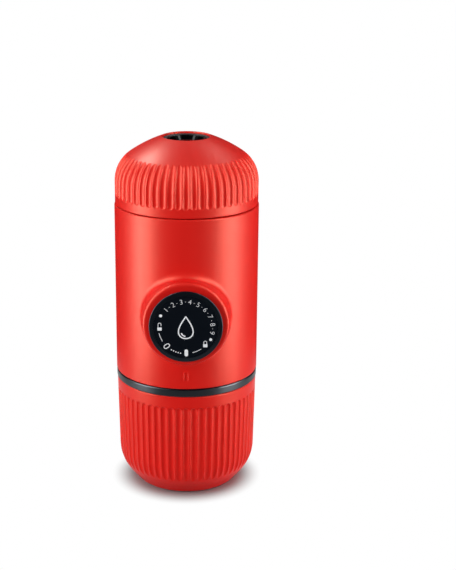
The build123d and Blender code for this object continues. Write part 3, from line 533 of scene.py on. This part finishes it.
def plunger_cup_seal():
    """Rubber cup ring on the piston, its two lips open towards the water."""
    low, high = span("plunger_seal")
    back, front = -high.y, -low.y
    outer, inner = high.x, high.x - CUP_SEAL_DEPTH
    middle, lip = (outer + inner) / 2, CUP_SEAL_DEPTH / 8
    outline = [
        (outer, back),
        (outer - lip, back),
        (middle + lip, back + 3 * lip),
        (middle, back + 6 * lip),
        (middle - lip, back + 3 * lip),
        (inner + lip, back),
        (inner, back),
        (inner + lip, back + 8 * lip),
        (inner + lip, front),
        (outer - lip, front),
        (outer - lip, back + 8 * lip),
    ]
    bm = lathe(rounded(outline, lip / 2, 2), ALONG_PUMP)
    new_piece("plunger_cup_ring", bm, nitrile_rubber, stands_for="plunger_seal")


def air_umbrella():
    """Umbrella valve: a thin domed rim under the bulkhead, a stem through it and a soft head above."""
    low, high = span("air_valve")
    axis = Matrix.Translation(((low.x + high.x) / 2, (low.y + high.y) / 2, 0))
    rim = (high.x - low.x) / 2
    under, neck = low.z + AIR_DROP, high.z - AIR_DROP
    dome = [
        (AIR_STEM + (rim - AIR_STEM) * sin(radians(a)), under - AIR_DROP * cos(radians(a)))
        for a in range(0, 91, 10)
    ]
    outline = [
        (0, low.z),
        *dome,
        (rim - AIR_RIM, under),
        (AIR_STEM + AIR_ROOT, under - AIR_RIM),
        (AIR_STEM, under),
        (AIR_STEM, neck),
        (AIR_HEAD, neck),
        (AIR_HEAD, neck + AIR_SIDE),
        (AIR_STEM, high.z - AIR_CROWN),
        (AIR_TIP, high.z),
        (0, high.z),
    ]
    silicone_piece("air_umbrella_valve", lathe(outline, axis, SMALL_SIDES), "air_valve")


def grommet():
    """Soft bush that holds the suction hose in the bulkhead, with a rounded flange on each side."""
    low, high = span("tube_grommet")
    axis = Matrix.Translation((0, (low.y + high.y) / 2, 0))
    outer = (high.x - low.x) / 2
    waist = outer - GROMMET_WALL
    outline = [
        (GROMMET_BORE, low.z),
        (outer, low.z),
        (outer, low.z + GROMMET_FLANGE),
        (waist, low.z + GROMMET_FLANGE),
        (waist, high.z - GROMMET_FLANGE),
        (outer, high.z - GROMMET_FLANGE),
        (outer, high.z),
        (GROMMET_BORE, high.z),
    ]
    silicone_piece("hose_grommet", lathe(rounded(outline, GROMMET_ROUND), axis, SMALL_SIDES), "tube_grommet")


def hose(node, name):
    """A short straight hose with softly cut ends."""
    low, high = span(node)
    axis = Matrix.Translation((0, (low.y + high.y) / 2, 0))
    outer = (high.x - low.x) / 2
    inner = outer - HOSE_WALL
    outline = rounded([(inner, low.z), (outer, low.z), (outer, high.z), (inner, high.z)], HOSE_ROUND)
    new_piece(name, lathe(outline, axis, SMALL_SIDES), hose_silicone, stands_for=node)


def duckbill(node, name):
    """Duckbill valve: a round flange whose bore flattens upwards to a slit between two lips."""
    low, high = span(node)
    middle = (low.y + high.y) / 2
    flange = (high.x - low.x) / 2
    top = high.z - low.z
    bore = BILL_RADIUS - BILL_WALL
    lip = BILL_WALL / 2
    # Radius across the slit, radius along it and height: from the bore's foot out and up, then down inside
    rows = [
        (bore, bore, 0),
        (flange, flange, 0),
        (flange, flange, VALVE_FLANGE),
        (BILL_RADIUS, BILL_RADIUS, VALVE_FLANGE),
        (BILL_WALL, bore, top),
        (lip / 4, bore - lip, top),
        (bore, bore, VALVE_FLANGE),
    ]
    bm = bmesh.new()
    rings = []
    for across, along, height in rows:
        ring = []
        for k in range(SMALL_SIDES):
            angle = tau * k / SMALL_SIDES
            ring.append(bm.verts.new((along * cos(angle), middle + across * sin(angle), low.z + height)))
        rings.append(ring)
    join_rings(bm, rings + rings[:1])
    silicone_piece(name, bm, node)


beaded_seal("tank_seal", "tank_beaded_seal", TANK_SEAL_WIDTH)
beaded_seal("group_seal", "group_beaded_seal", GROUP_SEAL_WIDTH)
beaded_seal("basket_seal", "basket_beaded_seal", BASKET_SEAL_WIDTH)
o_ring("cup_grip_ring", "cup_grip_o_ring", UPRIGHT)
o_ring("spout_ring", "spout_o_ring", UPRIGHT)
o_ring("valve_block_seal", "valve_block_o_ring", ALONG_PUMP)
plunger_cup_seal()
air_umbrella()
grommet()
hose("suction_tube", "suction_hose")
hose("delivery_tube", "delivery_hose")
duckbill("inlet_valve", "inlet_duckbill")
duckbill("outlet_valve", "outlet_duckbill")


def return_spring():
    """Round wire wound in open turns, with its end turns closed and level. It stretches with the plunger."""
    bm = bmesh.new()
    rings = []
    for i in range(int((SPRING_TURNS + 2 * SPRING_CLOSED) * SPRING_STEPS) + 1):
        turn = i / SPRING_STEPS
        share = min(max((turn - SPRING_CLOSED) / SPRING_TURNS, 0), 1)
        reach = SPRING_BACK + (SPRING_FRONT - SPRING_BACK) * share
        outward = Vector((cos(tau * turn), 0, sin(tau * turn)))
        ring = []
        for k in range(WIRE_SIDES):
            angle = tau * k / WIRE_SIDES
            radius = SPRING_RADIUS + SPRING_WIRE * cos(angle)
            point = outward * radius + Vector((0, -reach - SPRING_WIRE * sin(angle), PUMP_HEIGHT))
            ring.append(bm.verts.new(point))
        rings.append(ring)
    join_rings(bm, rings)
    bm.faces.new(rings[0])
    bm.faces.new(reversed(rings[-1]))
    piece = new_piece("return_spring_wire", bm, spring_wire_steel)
    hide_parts("return_spring")
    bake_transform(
        piece,
        "body",
        "plunger",
        start=(0, -(SPRING_BACK + SPRING_WIRE) * MM, PUMP_HEIGHT * MM),
        end=(0, -(SPRING_FRONT - SPRING_WIRE) * MM, PUMP_HEIGHT * MM),
    )


return_spring()


# ---- Knob face and its printed marks, in millimetres ----
# Angles are in degrees, anticlockwise from +X as seen from the front. Circles are radii round the axis.
LOCK_ANGLE = -89.0
UNLOCK_ANGLE = LOCK_ANGLE - 45.0  # the knob's turn
MARK_CIRCLE = 11.3

DOT_CIRCLE = 11.5
DOT_ANGLES = (154.0, -27.0)
DOT_RADIUS = 0.62

PILL_CIRCLE = 11.1
PILL_LENGTH = 3.1
PILL_WIDTH = 1.45
RING_LENGTH = 2.5
RING_WIDTH = 1.5
RING_LINE = 0.36
RING_TILT = -10.0  # away from pointing at the middle

ROW_CIRCLE = 11.4
ROW_DOTS = 5
ROW_RADIUS = 0.27
ROW_START = -12.0  # from the locked position to the first small dot
ROW_STEP = -5.1

SCALE_CIRCLE = 11.0
SCALE_START = 137.0
SCALE_END = -12.0
SCALE_NUMBERS = 9
TICK_RADIUS = 0.14
NUMBER_HEIGHT = 2.1
NUMBER_THINNING = 0.05  # taken off each side of a digit's strokes
DIGIT_SHARE = 0.7  # a digit's height as a share of the font's size

POSITION_LINE = 0.22
UNLOCK_LINE = (-14.0, -33.0)  # from the unlocked position to the line's ends
LOCK_LINE = (13.0, 33.0)  # from the locked position to the line's ends
PADLOCK_CIRCLE = 10.8
UNLOCK_PADLOCK = -46.0  # from the unlocked position
LOCK_PADLOCK = 47.0  # from the locked position
PADLOCK_WIDTH = 1.8
PADLOCK_HEIGHT = 1.35
PADLOCK_ROUND = 0.2
SHACKLE_RADIUS = 0.612
SHACKLE_HEIGHT = 0.72
SHACKLE_LINE = 0.234
SHACKLE_SUNK = 0.1  # into the padlock's body
SHACKLE_LIFT = 0.6  # of the open one

DROP_HEIGHT = 9.6
DROP_FULLNESS = 4.17725  # makes it 6.07 wide
DROP_POINT = 1.3  # more draws its top out to a longer point
DROP_POINTS = 48
DROP_LINE = 0.5
GLINT_LOW = 1.92  # its middle, below the drop's
GLINT_RADIUS = 1.89
GLINT_START = 195
GLINT_END = 265

END_STEPS = 16  # of a mark's round end
LINE_STEPS = 24
GLINT_STEPS = 12
PRINT_BACK = KNOB_REACH - FACE_RECESS
PRINT_FRONT = PRINT_BACK + PRINT_THICKNESS


def polar(radius, angle):
    """A point at that radius and angle, in degrees, from the middle."""
    return Vector((radius * cos(radians(angle)), radius * sin(radians(angle))))


def arc(centre, radius, start, end, steps):
    """Points on an arc, from the start angle to the end angle."""
    return [Vector(centre) + polar(radius, start + (end - start) * k / steps) for k in range(steps + 1)]


def on_face(point, reach):
    """A point of the printed drawing, that far in front of the pump's middle."""
    return Vector((point[0], -reach, PUMP_HEIGHT + point[1]))


def printed_line(bm, path, width, closed=False):
    """A line of ink of even width along a path."""
    rows = []
    count = len(path)
    for i, point in enumerate(path):
        before = path[i - 1] if closed or i else point
        after = path[(i + 1) % count] if closed or i < count - 1 else point
        along = (after - before).normalized() * width / 2
        across = Vector((-along.y, along.x))
        left, right = point + across, point - across
        corners = ((left, PRINT_BACK), (left, PRINT_FRONT), (right, PRINT_FRONT), (right, PRINT_BACK))
        rows.append([bm.verts.new(on_face(*corner)) for corner in corners])
    join_rings(bm, rows + rows[:1] if closed else rows)
    if not closed:
        bm.faces.new(rows[0])
        bm.faces.new(reversed(rows[-1]))


def printed_patch(bm, outline):
    """A filled patch of ink inside a closed outline."""
    back = [bm.verts.new(on_face(point, PRINT_BACK)) for point in outline]
    front = [bm.verts.new(on_face(point, PRINT_FRONT)) for point in outline]
    bm.faces.new(back)
    bm.faces.new(reversed(front))
    join_rings(bm, [back, front])


def printed_dot(bm, centre, radius, points=12):
    """A round dot of ink."""
    printed_patch(bm, arc(centre, radius, 0, 360 - 360 / points, points - 1))


def printed_slot(bm, centre, length, width, angle, line=None):
    """A long round-ended mark that points along angle: filled, or drawn as a line."""
    half = (length - width) / 2
    outline = arc(centre + polar(half, angle), width / 2, angle - 90, angle + 90, END_STEPS)
    outline += arc(centre - polar(half, angle), width / 2, angle + 90, angle + 270, END_STEPS)
    if line:
        printed_line(bm, outline, line, closed=True)
    else:
        printed_patch(bm, outline)


def printed_padlock(bm, centre, lift):
    """A padlock sign. The shackle of an open one is lifted, and one leg ends above the body."""
    x, y = centre
    left, right, foot = x - PADLOCK_WIDTH / 2, x + PADLOCK_WIDTH / 2, y - PADLOCK_HEIGHT
    printed_patch(bm, rounded([(left, y), (right, y), (right, foot), (left, foot)], PADLOCK_ROUND))
    free_leg = Vector((x + SHACKLE_RADIUS, y + (lift or -SHACKLE_SUNK)))
    bow = arc((x, y + SHACKLE_HEIGHT + lift), SHACKLE_RADIUS, 0, 180, END_STEPS)
    held_leg = Vector((x - SHACKLE_RADIUS, y - SHACKLE_SUNK))
    printed_line(bm, [free_leg, *bow, held_leg], SHACKLE_LINE)


def printed_drop(bm):
    """A drop of water, drawn as an outline with a short curved glint inside."""
    outline = []
    for k in range(DROP_POINTS):
        t = tau * (k + 0.5) / DROP_POINTS
        across = DROP_FULLNESS * sin(t) * sin(t / 2) ** DROP_POINT
        outline.append(Vector((across, DROP_HEIGHT / 2 * cos(t))))
    printed_line(bm, outline, DROP_LINE, closed=True)
    glint = arc((0, -GLINT_LOW), GLINT_RADIUS, GLINT_START, GLINT_END, GLINT_STEPS)
    printed_line(bm, glint, DROP_LINE)


def printed_number(bm, text, angle):
    """Plain upright digits on the scale's circle, with their feet towards the middle."""
    curve = bpy.data.curves.new("number", "FONT")
    curve.body = text
    curve.align_x, curve.align_y = "CENTER", "CENTER"
    curve.size = NUMBER_HEIGHT / DIGIT_SHARE
    curve.extrude = PRINT_THICKNESS / 2
    curve.offset = -NUMBER_THINNING
    curve.resolution_u = 3
    writing = new_object("number", curve)
    flat = bpy.data.meshes.new_from_object(writing.evaluated_get(bpy.context.evaluated_depsgraph_get()))
    middle = on_face(polar(SCALE_CIRCLE, angle), (PRINT_BACK + PRINT_FRONT) / 2)
    turned = Matrix.Rotation(radians(90), 4, "X") @ Matrix.Rotation(radians(angle - 90), 4, "Z")
    flat.transform(Matrix.Translation(middle) @ turned)
    bm.from_mesh(flat)
    bpy.data.objects.remove(writing)
    bpy.data.curves.remove(curve)
    bpy.data.meshes.remove(flat)


def knob_face_disc():
    """The round disc in the knob's front, with a narrow bevel round its edge."""
    highest = span("knob_face")[1]
    radius, back = highest.x, -highest.y
    outline = [
        (0, back),
        (radius, back),
        (radius, PRINT_BACK - FACE_EDGE),
        (radius - FACE_EDGE, PRINT_BACK),
        (0, PRINT_BACK),
    ]
    bm = lathe(outline, ALONG_PUMP, WIDE_SIDES)
    new_piece("knob_face_disc", bm, face_polycarbonate, stands_for="knob_face")


def knob_face_print():
    """White marks: a numbered scale, the two positions of the knob with their padlocks, and a water drop."""
    bm = bmesh.new()
    for angle in DOT_ANGLES:
        printed_dot(bm, polar(DOT_CIRCLE, angle), DOT_RADIUS, points=24)
    printed_slot(bm, polar(PILL_CIRCLE, LOCK_ANGLE), PILL_LENGTH, PILL_WIDTH, LOCK_ANGLE)
    ring_angle = UNLOCK_ANGLE + RING_TILT
    printed_slot(bm, polar(MARK_CIRCLE, UNLOCK_ANGLE), RING_LENGTH, RING_WIDTH, ring_angle, RING_LINE)
    for k in range(ROW_DOTS):
        printed_dot(bm, polar(ROW_CIRCLE, LOCK_ANGLE + ROW_START + ROW_STEP * k), ROW_RADIUS)
    step = (SCALE_END - SCALE_START) / (SCALE_NUMBERS - 1)
    for k in range(SCALE_NUMBERS):
        printed_number(bm, str(k + 1), SCALE_START + step * k)
        if k:
            printed_dot(bm, polar(SCALE_CIRCLE, SCALE_START + step * (k - 0.5)), TICK_RADIUS)
    for position, ends in ((UNLOCK_ANGLE, UNLOCK_LINE), (LOCK_ANGLE, LOCK_LINE)):
        start, end = (position + angle for angle in ends)
        printed_line(bm, arc((0, 0), MARK_CIRCLE, start, end, LINE_STEPS), POSITION_LINE)
    printed_padlock(bm, polar(PADLOCK_CIRCLE, UNLOCK_ANGLE + UNLOCK_PADLOCK), SHACKLE_LIFT)
    printed_padlock(bm, polar(PADLOCK_CIRCLE, LOCK_ANGLE + LOCK_PADLOCK), 0)
    printed_drop(bm)
    new_piece("knob_face_print", bm, white_ink, body="knob")


knob_face_disc()
knob_face_print()


# ---- Floor, light and camera, in metres ----
LOOK_HEIGHT = 0.078  # middle of the object
DOME_HEIGHT = 0.15
TABLE_SIZE = 6.0
# Inside this ring round the foot the table shows its mid grey lacquer: painted shade on top of the real
# shadow. Outside it the table is plain white.
SHADOW_START = 0.022  # from the object's axis, where the lacquer starts to turn white
SHADOW_END = 0.0345
ROOM_LEVEL = 0.38  # light of the room on the surfaces themselves

CARD_RADIUS = 0.16
CARD_HEIGHT = 0.3
CARD_FOOT = 0.0005
CARD_SPANS = ((-48, 48), (96, 264))  # degrees round from the camera's side
CARD_STEP = 6
ROOF_RADIUS = 0.19
ROOF_HEIGHT = 0.45

CAMERA_DISTANCE = 0.6
CAMERA_DOWN = radians(18.41)
CAMERA_TURN = radians(0.5)  # to the right of the knob
SENSOR_WIDTH = 36.0  # millimetres, as Blender's lens is
FRAME_WIDTH = 456  # of the render, in pixels
FRAME_HEIGHT = 570
FOCAL_PIXELS = 1362.96  # the lens's focal length, in pixels of the render
AXIS_PIXEL = (186.65, 309.94)  # where the render shows the point that the camera looks at


def seen_by_eye(tree):
    """A socket that is 1 for what the camera, gloss and glass see, and 0 for light that falls on things."""
    rays = add(tree, "ShaderNodeLightPath").outputs
    direct = add(
        tree,
        "ShaderNodeMath",
        {0: rays["Is Camera Ray"], 1: rays["Is Glossy Ray"]},
        operation="MAXIMUM",
    )
    seen = add(
        tree,
        "ShaderNodeMath",
        {0: direct.outputs[0], 1: rays["Is Transmission Ray"]},
        operation="MAXIMUM",
    )
    return seen.outputs[0]


def table_top_with_painted_shade():
    """Gloss lacquered table top. Round the foot it shows a mid grey, painted shade that deepens the object's
    real shadow there, and it turns to plain white further out.
    """
    material, tree = new_material("table_top_painted_shade_ring")
    place = add(tree, "ShaderNodeTexCoord").outputs["Object"]
    away = add(tree, "ShaderNodeVectorMath", {0: place}, operation="LENGTH")
    fade = add(
        tree,
        "ShaderNodeMapRange",
        {"Value": away.outputs["Value"], "From Min": SHADOW_START, "From Max": SHADOW_END},
        interpolation_type="SMOOTHSTEP",
    )
    share = add(
        tree,
        "ShaderNodeMath",
        {0: fade.outputs["Result"], 1: seen_by_eye(tree)},
        operation="MULTIPLY",
    )
    # Mid grey, darker than a pale table: painted shade that darkens the ring round the foot, added to the
    # real shadow that falls there
    lacquer = add(
        tree,
        "ShaderNodeBsdfPrincipled",
        {"Base Color": colour("#9C9C9E"), "Roughness": 0.1, "Specular IOR Level": 0.35},
    )
    white = add(tree, "ShaderNodeEmission", {"Color": (1, 1, 1, 1), "Strength": 1.0})
    mixed = add(
        tree,
        "ShaderNodeMixShader",
        {0: share.outputs[0], 1: lacquer.outputs[0], 2: white.outputs[0]},
    )
    finish_material(tree, mixed)
    bm = bmesh.new()
    bmesh.ops.create_grid(bm, x_segments=8, y_segments=8, size=TABLE_SIZE)
    new_object("table_top", new_mesh("table_top", bm, material))


def dark_card():
    """Curved black cards behind and in front and a round one overhead. Gloss alone shows them: they keep the
    shell's edges and the dome deep red."""
    material, tree = new_material("black_felt_card")
    finish_material(tree, add(tree, "ShaderNodeBsdfDiffuse", {"Color": colour("#141414")}))
    bm = bmesh.new()
    for start, end in CARD_SPANS:
        edges = []
        for azimuth in range(start, end + 1, CARD_STEP):
            side, back = CARD_RADIUS * sin(radians(azimuth)), -CARD_RADIUS * cos(radians(azimuth))
            edges.append([bm.verts.new((side, back, height)) for height in (CARD_FOOT, CARD_HEIGHT)])
        for last, edge in zip(edges, edges[1:]):
            bm.faces.new((last[0], edge[0], edge[1], last[1]))
    bmesh.ops.create_circle(
        bm,
        cap_ends=True,
        segments=48,
        radius=ROOF_RADIUS,
        matrix=Matrix.Translation((0, 0, ROOF_HEIGHT)),
    )
    card = new_object("dark_card", new_mesh("dark_card", bm, material))
    card.visible_camera = card.visible_diffuse = card.visible_shadow = False


def white_world():
    """White for what the camera, gloss and glass see, and a plain soft level as light."""
    world = bpy.data.worlds.new("white_room")
    bpy.context.scene.world = world
    world.use_nodes = True
    tree = world.node_tree
    tree.nodes.clear()
    strength = add(
        tree,
        "ShaderNodeMapRange",
        {"Value": seen_by_eye(tree), "To Min": ROOM_LEVEL, "To Max": 1.0},
    )
    light = add(
        tree,
        "ShaderNodeBackground",
        {"Color": (1, 1, 1, 1), "Strength": strength.outputs["Result"]},
    )
    add(tree, "ShaderNodeOutputWorld", {"Surface": light.outputs[0]})


def turn_towards(thing, height):
    """Turns a lamp or the camera to face the object's axis at that height."""
    thing.rotation_mode = "QUATERNION"
    thing.rotation_quaternion = (Vector((0, 0, height)) - thing.location).to_track_quat("-Z", "Y")


def flat_lamp(name, azimuth, distance, middle, width, height, power, aim):
    """A rectangular lamp that faces the axis. Azimuth 0 is the camera's side, positive to the right, in
    degrees. Power is in watts."""
    lamp = bpy.data.lights.new(name, "AREA")
    lamp.shape = "RECTANGLE"
    lamp.size, lamp.size_y = width, height
    lamp.energy = power
    box = new_object(name, lamp)
    angle = radians(azimuth)
    box.location = (distance * sin(angle), -distance * cos(angle), middle)
    turn_towards(box, aim)
    box.visible_camera = False
    return box


def softbox(name, azimuth, distance, middle, width, height, power):
    """Soft light for the surfaces themselves. Gloss doesn't show it."""
    box = flat_lamp(name, azimuth, distance, middle, width, height, power, aim=LOOK_HEIGHT)
    box.visible_glossy = False


def strip_light(name, azimuth, distance, width, height, power):
    """An upright strip from the table up, which gloss alone shows: one soft band down the shell."""
    middle = height / 2
    strip = flat_lamp(name, azimuth, distance, middle, width, height, power, aim=middle)
    strip.visible_diffuse = False


def gloss_lamp(name, azimuth, distance, middle, size, power):
    """A square lamp high behind the object, which gloss alone shows: a soft spot on the head's dome."""
    lamp = flat_lamp(name, azimuth, distance, middle, size, size, power, aim=DOME_HEIGHT)
    lamp.visible_diffuse = False


def camera():
    """A long lens in front, a little above and to the right, that looks down at the middle of the object."""
    data = bpy.data.cameras.new("camera")
    data.sensor_width = SENSOR_WIDTH
    data.lens = FOCAL_PIXELS * SENSOR_WIDTH / FRAME_HEIGHT
    data.shift_x = (FRAME_WIDTH / 2 - AXIS_PIXEL[0]) / FRAME_HEIGHT
    data.shift_y = (AXIS_PIXEL[1] - FRAME_HEIGHT / 2) / FRAME_HEIGHT
    data.clip_start, data.clip_end = 0.02, 20.0
    view = new_object("camera", data)
    level = CAMERA_DISTANCE * cos(CAMERA_DOWN)
    view.location = (
        level * sin(CAMERA_TURN),
        -level * cos(CAMERA_TURN),
        LOOK_HEIGHT + CAMERA_DISTANCE * sin(CAMERA_DOWN),
    )
    turn_towards(view, LOOK_HEIGHT)
    bpy.context.scene.camera = view


table_top_with_painted_shade()
white_world()
# Azimuth, distance, height of the middle, width, height and power
softbox("left_softbox", -60, 0.6, 0.34, 0.4, 0.4, 2.5)
softbox("right_softbox", 84, 0.6, 0.14, 0.4, 0.26, 1.95)
softbox("overhead_softbox", 180, 0.15, 0.8, 0.9, 0.9, 1.35)
softbox("front_softbox", 5, 1.2, 0.3, 0.8, 0.5, 1.8)
# Azimuth, distance, width, height and power
strip_light("left_strip", -69, 0.2, 0.1, 0.5, 2.9)
strip_light("right_strip", 69, 0.2, 0.1, 0.5, 3.3)
# Azimuth, distance, height of the middle, size and power
gloss_lamp("left_dome_lamp", -128, 0.235, 0.41, 0.09, 1.3)
gloss_lamp("right_dome_lamp", 141, 0.235, 0.42, 0.09, 0.2)
dark_card()
camera()
bpy.context.scene.view_settings.view_transform = "Standard"
